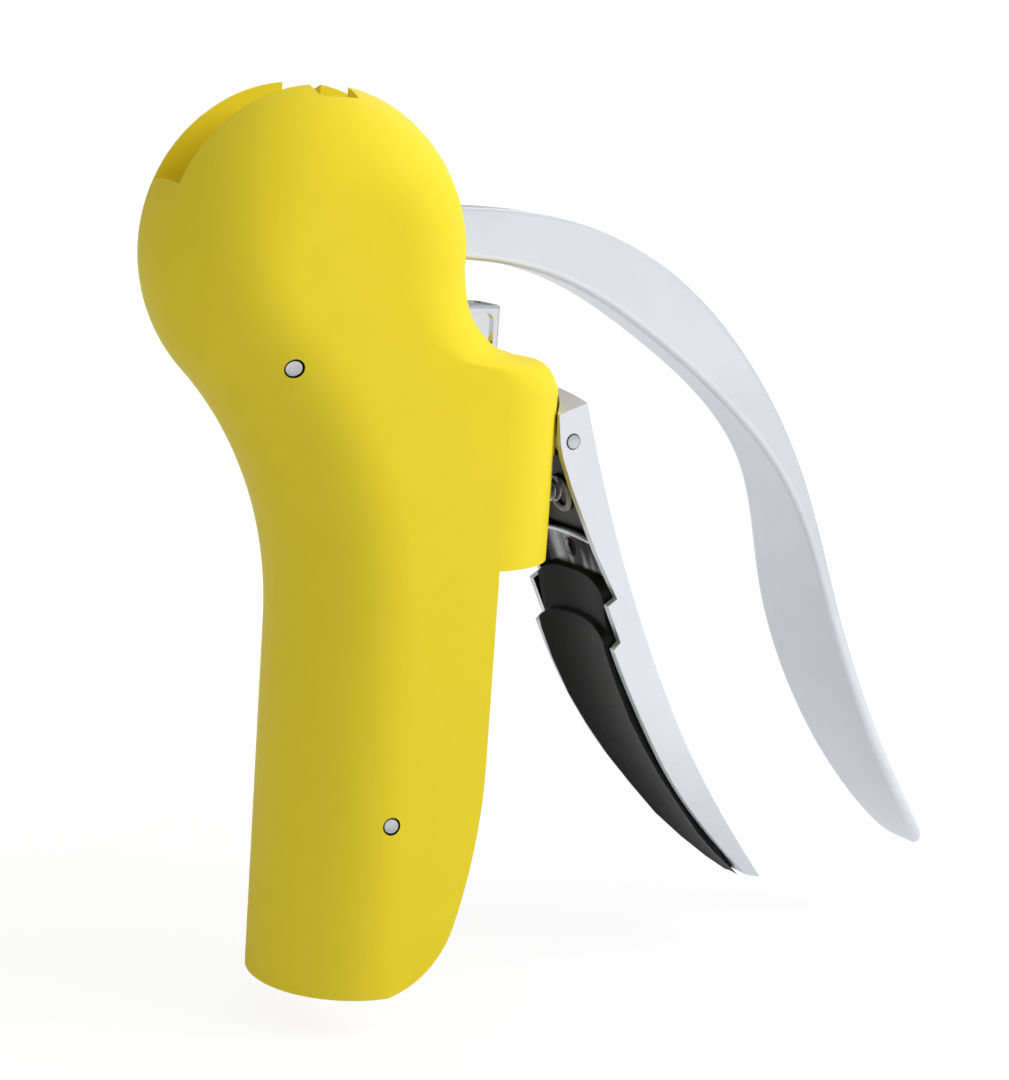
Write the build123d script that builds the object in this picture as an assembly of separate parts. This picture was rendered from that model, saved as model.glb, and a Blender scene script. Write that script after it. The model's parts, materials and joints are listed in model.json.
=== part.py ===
import os
from math import acos, atan2, cos, degrees, hypot, pi, radians, sin, sqrt, tan
from build123d import *

# A lever corkscrew, in millimetres. The worm turns about the Z axis. Z = 0 is the mouth of the collar
# that takes the bottle's lip, +X points to the lever's paddle, and the body is symmetric about Y = 0.

# Body: two moulded halves that meet at Y = 0
body_half = 19.5            # half thickness, which is also the radius of the collar
crown_flat = 0.2            # flat strip that the full-round edges leave down the middle of each side
back_x = -37.5              # straight back of the handle
foot_z = -83.4              # lower end of the handle
head_x = -35.3              # centre of the round head, where the lever turns
head_z = 58.2
head_r = 31.7
nape_deg = 225.0            # where the nape's curve meets the head's circle
brow_top = 56.0             # where the head's front starts to sweep out to the collar's rim
sweep_x = -24.0             # the sweep starts here, where the body has its full thickness,
collar_x = -18.0            # and the collar's straight side here
sweep_steps = 4             # sections on each of the sweep's two arcs
shoulder_in = 1.0           # end of the sweep's round-over, inside the slot
heel_start = 38.0           # straight flange below the collar, before the toe curves in
heel_in = 5.1               # the flange's first gentle curve inwards, and its height
heel_z = -70.8
toe_x = -19.0               # where the toe meets the foot

# Collar and the half pipe below it, which take the bottle's lip and neck
bore_r = 15.3
bore_top = 33.0
rim_z = 39.4                # top of the collar, where the sweep from the head turns over into its rim
rim_start = 32.2            # where the collar's outside starts to round over
liner_wall = 1.1            # rubber liner of the half pipe
liner_top = -8.0
liner_end = 5.0             # bare handle below the liner
liner_edge = 0.5            # bare handle beside the liner
liner_gap = 0.1

# Slot for the lever and the rack, open over the top and down the right side of the head
slot_half = 5.25
slot_gap = 0.4              # between the raised arm and the end of the slot
pocket_gap = 1.3            # room round the tips of the gear
notch_x0 = -39.0            # flat notch across the top of the slot
notch_x1 = -31.0
notch_z = 87.2

# Pins through both halves
pin_r = 1.45
pin_gap = 0.03
pin_ring = 0.32             # dark ring around each pin's end
pin_sunk = 0.45             # how deep a pin's end lies below the surface
upper_pin = (-45.5, 39.1)
lower_pin = (-20.3, -48.6)

# Gear of the lever, rack of the carriage
tooth_module = 2.0
gear_teeth = 18             # on the whole circle
sector_teeth = 8            # teeth that the lever really has
rack_teeth = 7
pressure_deg = 20.0
addendum = 1.8
dedendum = 2.5
tooth_bite = 1.0            # how deep a tooth is sunk in the hub or the bar that carries it
backlash = 0.24
lever_turn = 138.0          # from the paddle down to the paddle up

# Lever: an arm that arches out of the head, and a thin paddle that bends back outwards. Its sections stand
# across its upper edge, at shares of the arm's length and of the paddle's.
arm_half = 4.9              # half width of the arm
arm_top = 9.6               # upper and lower edge of the arm where it leaves the head,
arm_low = -0.4              # above the centre of the head
arm_corner = 1.4            # rounding of the lever's edges, where it is thick enough
thin_corner = 0.46          # share of the thickness that the rounding takes elsewhere
arch_x = -2.0               # centre of the arch; its angles count from straight up
arch_z = -28.0
arch_out = 97.0             # upper edge at the middle of the arch
arch_out_deg = 33.0
blade_out = 93.6            # upper edge where the paddle bends back
blade_deg = 70.0
lever_tip_x = 131.0
lever_tip_z = -73.0
arm_shares = (0.22, 0.47, 0.72, 0.87, 1.0)
arm_thick = (12.0, 13.4, 9.8, 6.0, 3.6)
arm_flare = (0.0, 0.0, 0.4, 2.6, 5.4)           # how much wider than the arm, on each side
blade_shares = (0.2, 0.45, 0.7, 0.86, 0.93, 0.97, 0.99, 1.0)
blade_thick = (2.9, 2.8, 2.8, 2.8, 2.7, 2.4, 1.9, 1.2)
blade_half = (12.5, 13.0, 11.6, 9.3, 7.5, 5.5, 3.4, 1.3)
axle_r = 4.0
axle_half = 15.0
axle_gap = 0.04
bush_r = 5.6
bush_flange_r = 8.0
bush_flange = 1.0
bush_gap = 0.1
bush_play = 0.3             # room round the bush's flange

# Carriage that holds the worm
carriage_half = 4.9
carriage_top = 49.2
carriage_low = 30.0
nose_x = 6.5
nose_round = 2.4
panel_depth = 0.8           # recessed panel on each side of the carriage
panel_rim = 1.2
panel_round = 2.0
carriage_round = 0.6        # edges of the carriage's top
panel_x = -4.1
bar_back = -10.0            # back of the rack's bar
rib_x0 = -9.5               # guide ribs that run in grooves of the body
rib_x1 = -6.0
rib_half = 6.8
rib_low = 18.0
rib_top = 47.5
rib_gap = 0.3
cap_depth = 1.4             # recess for the cap over the worm's bearing
cap_thick = 1.2
cap_x0 = -4.6
cap_x1 = 5.0
cap_half = 3.6
cap_corner = 1.2
cap_gap = 0.1

# Worm
worm_pitch = 9.0
worm_mean_r = 2.9
wire_r = 1.25
worm_tip = -34.0
tip_deg = 35.0              # slant of the ground point
hub_r = 4.2
hub_low = 22.0
hub_top = 28.5
washer_thick = 1.5
shank_r = 2.4
shank_gap = 0.05
bearing_top = 41.0
clip_r = 3.0
clip_thick = 1.0
clip_neck = 1.8             # radius of the groove that the clip sits in
clip_slot = 1.2             # half width of the clip's open side
clip_gap = 0.15             # above and below the clip
clip_room = 0.3             # round the clip
shank_top = 43.4
exit_deg = 70.0             # turn over which a coil's wire bends into its straight end
wire_bite = 0.5             # how deep the wire is sunk in the hub

# Guide that turns the worm as it goes through
guide_low = 6.5
guide_flange = 3.0
guide_flange_r = 16.2
guide_boss_r = 9.0
guide_top = 17.5
guide_clear = 0.3           # between the worm and the guide's bore
guide_pin_r = 1.2
guide_pin_down = 2.16       # upper pin below the top of the guide
guide_pin_in = 0.6          # how close the pins come to the worm's axis
guide_seat = 0.1

# Grip: a spring-opened lever that closes a pad on the neck. Places on it count from its pin, right and up.
grip_z = 23.9
grip_pin_r = 1.4
grip_half = 14.5
grip_wall = 1.6
grip_up = 7.6               # closed top above the pin
crown_x = 2.7               # right and left end of the closed top
crown_left = -3.7
crown_drop = 2.3            # how much lower its left end is
crown_rise = 1.9            # how much it is arched across
collar_gap = 0.5            # between the grip's closed top and the collar
back_mid = (19.6, -36.8)    # the back is an arc through here to the tip
grip_tip = (54.3, -95.4)
flange_mid = (30.4, -69.9)  # the flange's lower edge is an arc from the tip through here,
flange_edge = (             # and above it has two jogs and runs up to the eye of the pin
    (13.7, -42.8), (15.2, -41.3), (11.4, -33.6), (13.5, -32.2),
    (7.7, -22.8), (0.7, -9.5), (-2.0, -3.4), (-2.9, -0.4),
)
knee_down = 47.9            # the grip narrows from here down
bend_half = 12.4
bend_down = 73.9
grip_toe_half = 8.2
grip_toe_down = 90.4
toe_over = 1.5              # rounding of the tip, seen from the front
lug_r = 3.0
lug_in = 7.0
lug_out = 12.1
grip_washer_r = 2.9
grip_washer_gap = 0.1
washer_clear = 0.088        # between the washer's edge and the collar
carrier_thick = 1.0         # steel plate under the pad
carrier_up = -17.4
carrier_low = -43.9
pad_gap = 0.1
pad_up = -27.4
pad_low = -90.9
pad_ridge = ((11.3, -39.4), (26.3, -65.9))      # edge of the pad's hollow face: its top and middle
pad_head = ((9.1, -36.1), (10.5, -35.1), (8.3, -29.4), (6.4, -28.5), (5.4, -25.7))      # stepped top
pad_toe = (2.4, -0.6)       # thickness of the pad's lower end, both ways
pad_dish = ((13.4, -38.5), (27.8, -64.9))       # bottom of the hollow face: its top and middle
dish_toe = (2.6, -0.4)
pad_dish_r = 22.0           # hollow of the pad for the neck
rivet_r = 1.6
rivet_head_r = 2.6
rivet_head = 0.8
rivet_up = -21.9

# Grip spring
spring_up = -11.9
spring_mean_r = 2.35
spring_wire_r = 0.35
spring_turns = 3
spring_bend = 1.1           # rise of the bend at each end of the coil
spring_gap = 0.1            # between the coil and the bottom of its pocket
spring_lean = 1.54          # room for the seat's slant
pocket_r = 3.3
pocket_depth = 3.2
seat_r = 3.1
seat_thick = 0.6

# Values that follow from the sizes above
pitch_r = tooth_module * gear_teeth / 2
tip_r = pitch_r + addendum
root_r = pitch_r - dedendum
rack_pitch = pi * tooth_module
rack_line = head_x + pitch_r
rack_first = head_z - rack_pitch
rack_top = rack_first + rack_pitch / 2
rack_low = rack_first - (rack_teeth - 0.5) * rack_pitch
edge_round = body_half - crown_flat
washer_y = lug_out + grip_washer_gap
grip_x = sqrt(body_half ** 2 - washer_y ** 2) + grip_washer_r + washer_clear
grip_top = grip_z + grip_up
spring_z = grip_z + spring_up
big = 4 * (head_r + head_z)     # longer than any piece, for cuts that go right through


def side(shape):
    """Stand a drawing in X and Z upright in the plane Y = 0."""
    return Plane.XZ * shape


def cyl_y(x, z, r, y0, y1):
    return Pos(x, (y0 + y1) / 2, z) * Rot(90, 0, 0) * Cylinder(r, y1 - y0)


def cyl_z(r, z0, z1):
    return Pos(0, 0, (z0 + z1) / 2) * Cylinder(r, z1 - z0)


def block(x0, x1, y0, y1, z0, z1):
    return Pos((x0 + x1) / 2, (y0 + y1) / 2, (z0 + z1) / 2) * Box(x1 - x0, y1 - y0, z1 - z0)


def polar(r, deg, x=0.0, y=0.0):
    return (x + r * cos(radians(deg)), y + r * sin(radians(deg)))


def closed(*edges):
    """A face inside edges that follow each other, closed by a straight line where they end apart."""
    edges = list(edges)
    if (edges[-1] @ 1 - edges[0] @ 0).length > 1e-6:
        edges.append(Line(edges[-1] @ 1, edges[0] @ 0))
    return make_face(edges)


def one(shape):
    """The single solid of a shape."""
    return max(shape.solids(), key=lambda s: s.volume)


def body_side():
    """Side outline of the body, run on past the foot and below the head, where it is cut off later."""
    nape_r = (head_x - back_x + head_r * cos(radians(nape_deg))) / (-1 - cos(radians(nape_deg)))
    nape_end = polar(head_r, nape_deg, head_x, head_z)
    nape_start = (back_x, head_z + (head_r + nape_r) * sin(radians(nape_deg)))
    front = (head_x + head_r, head_z)
    brow_end = (front[0] + body_half * 2, head_z - body_half * 2)
    far_x = brow_end[0] + body_half * 2
    back = Line((back_x, foot_z - body_half * 2), nape_start)
    nape = TangentArc(nape_start, nape_end, tangent=(0, 1))
    head = ThreePointArc(nape_end, polar(head_r, nape_deg / 2, head_x, head_z), front)
    brow = TangentArc(front, brow_end, tangent=(0, -1))
    shelf = Line(brow_end, (far_x, brow_end[1]))
    end = Line((far_x, brow_end[1]), (far_x, foot_z - body_half * 2))
    return closed(back, nape, head, brow, shelf, end), (back, nape, head, brow, shelf)


def toe_cut():
    """What the toe's curve takes off the lower right corner of the handle."""
    heel_x = -heel_in
    heel = TangentArc((0, -heel_start), (heel_x, heel_z), tangent=(0, -1))
    toe = TangentArc(heel @ 1, (toe_x, foot_z), tangent=heel % 1)
    corners = [(toe_x, foot_z - big), (big, foot_z - big), (big, -heel_start)]
    return closed(heel, toe, Polyline((toe_x, foot_z), *corners, (0, -heel_start)))


def slot_side():
    """Side view of the space that the lever and the rack need inside the head."""
    gear = Pos(head_x, head_z) * Circle(tip_r + pocket_gap)
    aside = polar(arm_top + slot_gap, lever_turn + 90, head_x, head_z)
    over = polar(big, lever_turn / 2, head_x, head_z)
    fan = closed(Polyline((head_x, head_z), aside, polar(big, lever_turn, *aside), over,
                          (head_x + big, head_z), (head_x, head_z)))
    left = rack_line - addendum - pocket_gap
    right = left + big
    low = guide_low + guide_flange + guide_seat
    top = low + big
    rack = Pos((left + right) / 2, (top + low) / 2) * Rectangle(right - left, top - low)
    return gear + fan + rack


def shoulder_section(spot, r):
    """Level section through the near half below the head: a flat side that rounds over to the front."""
    x, z = spot
    middle_x = x - r
    middle_y = r - body_half
    end_x = middle_x + sqrt(r ** 2 - (shoulder_in + middle_y) ** 2)
    wall = Polyline((sweep_x, 0), (sweep_x, -body_half), (middle_x, -body_half))
    over = ThreePointArc(wall @ 1, polar(r, -45, middle_x, middle_y), (end_x, -shoulder_in))
    return Plane.XY.offset(z) * closed(wall, over, Line(over @ 1, (end_x, 0)))


def shoulder():
    """The near half between head and collar, swept out in a hollow curve that turns over at the rim."""
    front_x = head_x + head_r
    turn = (brow_top - rim_z) / (brow_top - rim_start)
    turn_x = front_x + (body_half - front_x) * turn
    brow = TangentArc((front_x, brow_top), (turn_x, rim_z), tangent=(0, -1))
    rim = TangentArc(brow @ 1, (body_half, rim_start), tangent=brow % 1)
    steps = [brow @ (i / sweep_steps) for i in range(sweep_steps)]
    steps += [rim @ (i / sweep_steps) for i in range(sweep_steps + 1)]
    spots = [(front_x, head_z)] + [(step.X, step.Y) for step in steps]
    grow = crown_flat / (len(spots) - 1)
    return loft([shoulder_section(spot, edge_round + grow * i) for i, spot in enumerate(spots)])


def collar_wall():
    """The collar's near half below its rim, with the flat side of the body behind it."""
    solid = cyl_z(body_half, 0, rim_start) & block(0, body_half, -body_half, 0, 0, rim_start)
    return solid + block(collar_x, 0, -body_half, 0, 0, rim_start)


def pin_end(place):
    """Distance of the body's surface from the plane Y = 0, where a pin comes out."""
    x, z = place
    inside = head_r - hypot(x - head_x, z - head_z) if z > 0 else x - back_x
    depth = max(0.0, edge_round - inside)
    return body_half - edge_round + sqrt(edge_round ** 2 - depth ** 2)


def near_half():
    outline, chain = body_side()
    solid = extrude(side(outline), body_half)
    outer = [e for e in solid.edges() if abs(e.center().Y + body_half) < 1e-3]
    keep = []
    for edge in outer:
        middle = edge @ 0.5
        for line in chain:
            spot = line @ 0.5
            if hypot(middle.X - spot.X, middle.Z - spot.Y) < 1e-3:
                keep.append(edge)
    solid = fillet(keep, edge_round)
    solid -= block(sweep_x, big, -big, big, rim_start, head_z)
    solid -= block(collar_x, big, -big, big, 0, rim_start)
    solid -= block(0, big, -big, big, -big, 0)
    solid &= block(-big, big, -big, big, foot_z, big)
    solid -= extrude(side(toe_cut()), big, both=True)
    solid = solid + collar_wall() + shoulder()
    # lug for the grip's pin
    lug = cyl_y(grip_x, grip_z, lug_r, -lug_out, -lug_in)
    lug += block(0, grip_x, -lug_out, -lug_in, grip_z - lug_r, grip_z + lug_r)
    solid = solid + lug
    # bore for the lip, half pipe for the neck, and the liner's recess
    solid -= cyl_z(bore_r, foot_z - big, bore_top)
    solid -= cyl_z(bore_r + liner_wall, foot_z + liner_end, liner_top)
    # groove for the guide's flange
    groove_low = guide_low + guide_flange
    solid -= cyl_z(guide_flange_r + guide_seat, guide_low - guide_seat, groove_low + guide_seat)
    # slot, grooves for the carriage's ribs, and the notch
    solid -= extrude(side(slot_side()), slot_half)
    solid -= block(rib_x0 - rib_gap, rib_x1 + rib_gap, -rib_half - rib_gap, 0, groove_low, big)
    solid -= block(notch_x0, notch_x1, -body_half, 0, notch_z, notch_z + body_half)
    # holes for the axle, its bush and the pins
    solid -= cyl_y(head_x, head_z, axle_r + pin_gap, -axle_half - pin_gap, 0)
    bush_y = arm_half + bush_flange + bush_gap
    solid -= cyl_y(head_x, head_z, bush_flange_r + bush_play, -bush_y - bush_gap, 0)
    for place in (upper_pin, lower_pin):
        end = pin_end(place) - pin_sunk
        solid -= cyl_y(*place, pin_r + pin_gap, -body_half, 0)
        solid -= cyl_y(*place, pin_r + pin_ring, -body_half, -end + pin_sunk / 2)
    solid -= cyl_y(grip_x, grip_z, grip_pin_r + pin_gap, -body_half, 0)
    # pocket for the grip's spring
    solid -= Pos(body_half - pocket_depth / 2, 0, spring_z) * Rot(0, 90, 0) * Cylinder(pocket_r, pocket_depth)
    return one(solid)


def neck_liner():
    outer = bore_r + liner_wall - liner_gap
    tube = cyl_z(outer, foot_z + liner_end + liner_gap, liner_top - liner_gap)
    tube -= cyl_z(bore_r - liner_gap, foot_z, 0)
    tube &= block(-big, -liner_edge, -big, big, foot_z, 0)
    return one(tube - extrude(side(toe_cut()), big, both=True))


def involute(r, base):
    """Turn of the involute, in radians, from its base circle out to radius r."""
    along = acos(base / r)
    return tan(along) - along


def gear_tooth(centre_deg):
    """One tooth: an involute flank on each side, from inside the root circle to the tip circle."""
    base = pitch_r * cos(radians(pressure_deg))
    half = (pi * tooth_module / 2 - backlash / 2) / (2 * pitch_r)
    at = radians(centre_deg)

    def flank(r, way):
        turn = half + involute(pitch_r, base) - involute(max(r, base), base)
        return (head_x + r * cos(at + way * turn), head_z + r * sin(at + way * turn))

    mid = (base + tip_r) / 2
    foot = root_r - tooth_bite
    low = Line(flank(foot, -1), flank(base, -1))
    rise = ThreePointArc(flank(base, -1), flank(mid, -1), flank(tip_r, -1))
    top = Line(flank(tip_r, -1), flank(tip_r, 1))
    fall = ThreePointArc(flank(tip_r, 1), flank(mid, 1), flank(base, 1))
    end = Line(flank(base, 1), flank(foot, 1))
    return closed(low, rise, top, fall, end)


def arch(r, deg):
    """Place at a radius and an angle from straight up, about the centre of the lever's arch."""
    return polar(r, 90 - deg, arch_x, arch_z)


def lever_section(line, share, thick, half):
    """Rounded section across the lever, its upper edge on a line in X and Z."""
    spot = line @ share
    way = line % share
    inward = Vector(way.Y, 0, -way.X)
    middle = Vector(spot.X, 0, spot.Y) + inward * (thick / 2)
    corner = min(arm_corner, thin_corner * thick)
    return Plane(middle, x_dir=inward, z_dir=(way.X, 0, way.Y)) * RectangleRounded(thick, half * 2, corner)


def lever_arm():
    """The arm and its paddle, from the hub's centre to the tip."""
    top = head_z + arm_top
    root = Line((head_x, top), (head_x + head_r, top))
    arm = ThreePointArc(root @ 1, arch(arch_out, arch_out_deg), arch(blade_out, blade_deg))
    blade = TangentArc(arm @ 1, (lever_tip_x, lever_tip_z), tangent=arm % 1)
    root_thick = arm_top - arm_low
    sections = [lever_section(root, share, root_thick, arm_half) for share in (0, 0.5)]
    sections.append(lever_section(arm, 0, root_thick, arm_half))
    for share, thick, flare in zip(arm_shares, arm_thick, arm_flare):
        sections.append(lever_section(arm, share, thick, arm_half + flare))
    for share, thick, half in zip(blade_shares, blade_thick, blade_half):
        sections.append(lever_section(blade, share, thick, half))
    return loft(sections)


def lever():
    gear = extrude(side(Pos(head_x, head_z) * Circle(root_r)), arm_half, both=True)
    for i in range(sector_teeth):
        step = 360 / gear_teeth
        gear += extrude(side(gear_tooth(-(i + 0.5) * step)), arm_half, both=True)
    solid = lever_arm() + gear
    return one(solid - cyl_y(head_x, head_z, bush_r, -body_half, body_half))


def lever_bush(way):
    """Flanged bush: sleeve in the lever's hub, flange against its side."""
    sleeve = cyl_y(head_x, head_z, bush_r - pin_gap, -arm_half - bush_flange, -pin_gap)
    flange = cyl_y(head_x, head_z, bush_flange_r, -arm_half - bush_flange, -arm_half)
    bush = sleeve + flange - cyl_y(head_x, head_z, axle_r + axle_gap, -body_half, body_half)
    return one(bush if way < 0 else mirror(bush, about=Plane.XZ))


def rack_side():
    """Rack teeth that point at the gear, with straight flanks."""
    slope = tan(radians(pressure_deg))
    half = rack_pitch / 4 - backlash / 4
    root_x = rack_line + dedendum
    tip_x = rack_line - addendum
    faces = Pos((root_x + bar_back) / 2, (rack_top + rack_low) / 2)
    faces = faces * Rectangle(bar_back - root_x, rack_top - rack_low)
    for i in range(rack_teeth):
        z = rack_first - i * rack_pitch
        wide = half + dedendum * slope
        slim = half - addendum * slope
        back = root_x + tooth_bite
        faces += closed(Polyline((back, z - wide), (root_x, z - wide), (tip_x, z - slim), (tip_x, z + slim),
                                 (root_x, z + wide), (back, z + wide)))
    return faces


def rack_carriage():
    """Rack, block that holds the worm, and ribs that guide them."""
    solid = extrude(side(rack_side()), carriage_half, both=True)
    body = block(bar_back - tooth_bite, nose_x, -carriage_half, carriage_half, carriage_low, carriage_top)
    nose = [e for e in body.edges().filter_by(Axis.Z) if e.center().X > 0]
    body = fillet(nose, nose_round)
    body = fillet([e for e in body.edges().group_by(Axis.Z)[-1] if e.center().X > bar_back], carriage_round)
    for way in (-1, 1):
        face_y = way * carriage_half
        panel = block(panel_x, nose_x - nose_round, face_y - panel_depth, face_y + panel_depth,
                      carriage_low + panel_rim, carriage_top - panel_rim)
        body -= fillet(panel.edges().filter_by(Axis.Y), panel_round)
    solid = solid + body
    solid += block(rib_x0, rib_x1, -rib_half, rib_half, rib_low, rib_top)
    solid -= cyl_z(shank_r + shank_gap, 0, carriage_top)
    solid -= cyl_z(clip_r + clip_room, bearing_top, carriage_top)
    recess = block(cap_x0, cap_x1, -cap_half, cap_half, carriage_top - cap_depth, carriage_top + cap_depth)
    solid -= fillet(recess.edges().filter_by(Axis.Z), cap_corner)
    return one(solid)


def carriage_cap():
    plate = block(cap_x0 + cap_gap, cap_x1 - cap_gap, -cap_half + cap_gap, cap_half - cap_gap,
                  carriage_top - cap_depth, carriage_top - cap_depth + cap_thick)
    return one(fillet(plate.edges().filter_by(Axis.Z), cap_corner - cap_gap))


def ring(r_in, r_out, z0, z1):
    return one(cyl_z(r_out, z0, z1) - cyl_z(r_in, z0, z1))


def biarc(start, start_way, end, end_way):
    """Two arcs that leave one point along one direction and reach another along another."""
    chord = end - start
    both = start_way + end_way
    open_up = 2 * (1 - start_way.dot(end_way))
    reach = (-chord.dot(both) + sqrt(chord.dot(both) ** 2 + open_up * chord.dot(chord))) / open_up
    middle = (start + start_way * reach + end - end_way * reach) * 0.5
    first = TangentArc(start, middle, tangent=start_way)
    return [first, TangentArc(middle, end, tangent=first % 1)]


def helix_points(r, pitch, turns):
    """Places and directions along a right-handed helix, four to a turn."""
    rise = pitch / (2 * pi)
    spots = []
    for i in range(int(turns * 4) + 1):
        a = i * pi / 2
        way = Vector(-r * sin(a), r * cos(a), rise).normalized()
        spots.append((Vector(r * cos(a), r * sin(a), rise * a), way))
    return spots


def tube(path, r):
    start = path[0]
    return sweep(Plane(start @ 0, z_dir=start % 0) * Circle(r), path=Wire(path))


def worm_path():
    """The wire: the helix, and at its top a bend that ends straight up in the hub."""
    turns = int((hub_low - 4 * wire_r - worm_tip) / worm_pitch * 4) / 4 - 0.25
    spots = helix_points(worm_mean_r, worm_pitch, turns)
    lift = Vector(0, 0, worm_tip + wire_r)
    path = []
    for (a, a_way), (b, b_way) in zip(spots, spots[1:]):
        path += biarc(a + lift, a_way, b + lift, b_way)
    last, way = spots[-1]
    turn = atan2(last.Y, last.X) + radians(exit_deg)
    end = Vector(worm_mean_r * cos(turn), worm_mean_r * sin(turn), hub_low - 2 * wire_r)
    path += biarc(last + lift, way, end, Vector(0, 0, 1))
    path.append(Line(end, Vector(end.X, end.Y, hub_low + wire_bite)))
    return path


def least_gap(path, r, apart):
    """Least clear distance of a tube to itself, between points further apart along it than given."""
    spots = []
    along = 0.0
    for edge in path:
        for i in range(6):
            spots.append((along + edge.length * i / 6, edge @ (i / 6)))
        along += edge.length
    gaps = [(p - q).length for s, p in spots for t, q in spots if t - s > apart]
    return min(gaps) - 2 * r


def worm():
    path = worm_path()
    print("worm: least gap to itself", round(least_gap(path, wire_r, pi * worm_mean_r), 2))
    wire = tube(path, wire_r)
    # ground point: a slanting cut across the first part of the wire
    start = path[0] @ 0
    way = path[0] % 0
    away = Vector(-start.X, -start.Y, 0).normalized()
    normal = away * cos(radians(tip_deg)) - way * sin(radians(tip_deg))
    slant = Plane(start + way * wire_r - away * wire_r, z_dir=normal)
    wire -= slant * Pos(0, 0, worm_pitch / 4) * Box(worm_pitch / 2, worm_pitch, worm_pitch / 2)
    solid = wire + cyl_z(hub_r, hub_low, hub_top)
    groove_top = bearing_top + clip_thick + 2 * clip_gap
    solid += cyl_z(shank_r, hub_top, bearing_top)
    solid += cyl_z(clip_neck, bearing_top, groove_top)
    solid += cyl_z(shank_r, groove_top, shank_top)
    return one(solid)


def worm_clip():
    low = bearing_top + clip_gap
    clip = cyl_z(clip_r, low, low + clip_thick) - cyl_z(clip_neck + shank_gap, low, low + clip_thick)
    return one(clip - block(0, clip_r, -clip_slot, clip_slot, low, low + clip_thick))


def guide_pins():
    """Pins that reach between the turns of the worm, opposite its wire, half a pitch apart."""
    pins = []
    rise = worm_pitch / (2 * pi)
    for i in range(2):
        z = guide_top - guide_pin_down - i * worm_pitch / 2
        wire_at = (z - worm_tip - wire_r) / rise
        place = Pos(0, 0, z) * Rot(0, 0, degrees(wire_at) + 180) * Rot(0, 90, 0)
        length = guide_boss_r - guide_pin_in
        pins.append(place * Pos(0, 0, guide_pin_in + length / 2) * Cylinder(guide_pin_r, length))
    return pins


def worm_guide():
    solid = cyl_z(guide_flange_r, guide_low, guide_low + guide_flange)
    solid += cyl_z(guide_boss_r, guide_low, guide_top)
    solid -= cyl_z(worm_mean_r + wire_r + guide_clear, 0, guide_top)
    for cut in guide_pins():
        solid -= cut
    return one(solid)


def from_pin(spot):
    """Place in X and Z of a spot that counts from the grip's pin."""
    return (grip_x + spot[0], grip_z + spot[1])


def grip_arc(shrink):
    """Back of the grip, or a line that runs a given distance inside it."""
    spots = [Vector(*from_pin(spot)) for spot in ((crown_x, grip_up), back_mid, grip_tip)]
    whole = ThreePointArc(*spots)
    centre = Vector(whole.arc_center.X, whole.arc_center.Y)
    return ThreePointArc(*[centre + (spot - centre).normalized() * (whole.radius + shrink) for spot in spots])


def share_at(line, z):
    """How far along a falling line it passes a given height, as a share of its length."""
    low, high = 0.0, 1.0
    for _ in range(40):
        middle = (low + high) / 2
        if (line @ middle).Y > z:
            low = middle
        else:
            high = middle
    return low


def web_span(shrink, z_top, z_low):
    """Stretch of a line inside the grip's back, between two heights."""
    line = grip_arc(shrink)
    top = share_at(line, z_top)
    low = share_at(line, z_low)
    return ThreePointArc(line @ top, line @ ((top + low) / 2), line @ low)


def grip_front(inset):
    """Front outline of the grip, which narrows to a rounded tip."""
    knee = (grip_half, grip_z - knee_down)
    bend = (bend_half, grip_z - bend_down)
    toe = (grip_toe_half, grip_z - grip_toe_down)
    tip = (0, grip_z + grip_tip[1] - toe_over)
    right = ThreePointArc(knee, bend, toe)
    round_end = ThreePointArc(toe, tip, (-toe[0], toe[1]))
    left = ThreePointArc((-toe[0], toe[1]), (-bend[0], bend[1]), (-knee[0], knee[1]))
    top = Polyline((-knee[0], knee[1]), (-grip_half, big), (grip_half, big), knee)
    face = make_face([right, round_end, left, top])
    return offset(face, -inset) if inset else face


def front_prism(inset):
    return extrude(Plane.YZ * grip_front(inset), big)


def grip_crown(start, end):
    """Arched strip on the grip's closed top, between its two ends."""
    way = Vector(end.X - start[0], 0, end.Y - start[1])
    arched = closed(ThreePointArc((-grip_half, 0), (0, crown_rise), (grip_half, 0)))
    return extrude(Plane((start[0], 0, start[1]), x_dir=(0, 1, 0), z_dir=way) * arched, way.length)


def grip_lever():
    """Pressed channel: a curved back, two flanges and a closed top."""
    back = grip_arc(0)
    edge = ThreePointArc(from_pin(grip_tip), from_pin(flange_mid), from_pin(flange_edge[0]))
    crown_end = (crown_left, grip_up - crown_drop)
    step = Polyline(*[from_pin(spot) for spot in flange_edge], from_pin(crown_end), back @ 0)
    outer = extrude(side(make_face([back, edge, step])), big, both=True) & front_prism(0)
    outer += grip_crown(from_pin(crown_end), back @ 0)
    web = web_span(grip_wall, grip_top - grip_wall, (grip_arc(grip_wall) @ 1).Y)
    roof = grip_top - grip_wall - crown_drop
    inside = Polyline(web @ 1, (0, (web @ 1).Y), (0, roof), (grip_x + crown_left, roof), web @ 0)
    hollow = closed(web, inside)
    solid = outer - (extrude(side(hollow), big, both=True) & front_prism(grip_wall))
    solid -= cyl_z(body_half + collar_gap, 0, big)
    solid -= rivet_shaft(rivet_r + pin_gap)
    solid -= cyl_y(grip_x, grip_z, grip_pin_r + axle_gap, -big, big)
    return one(solid)


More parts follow.
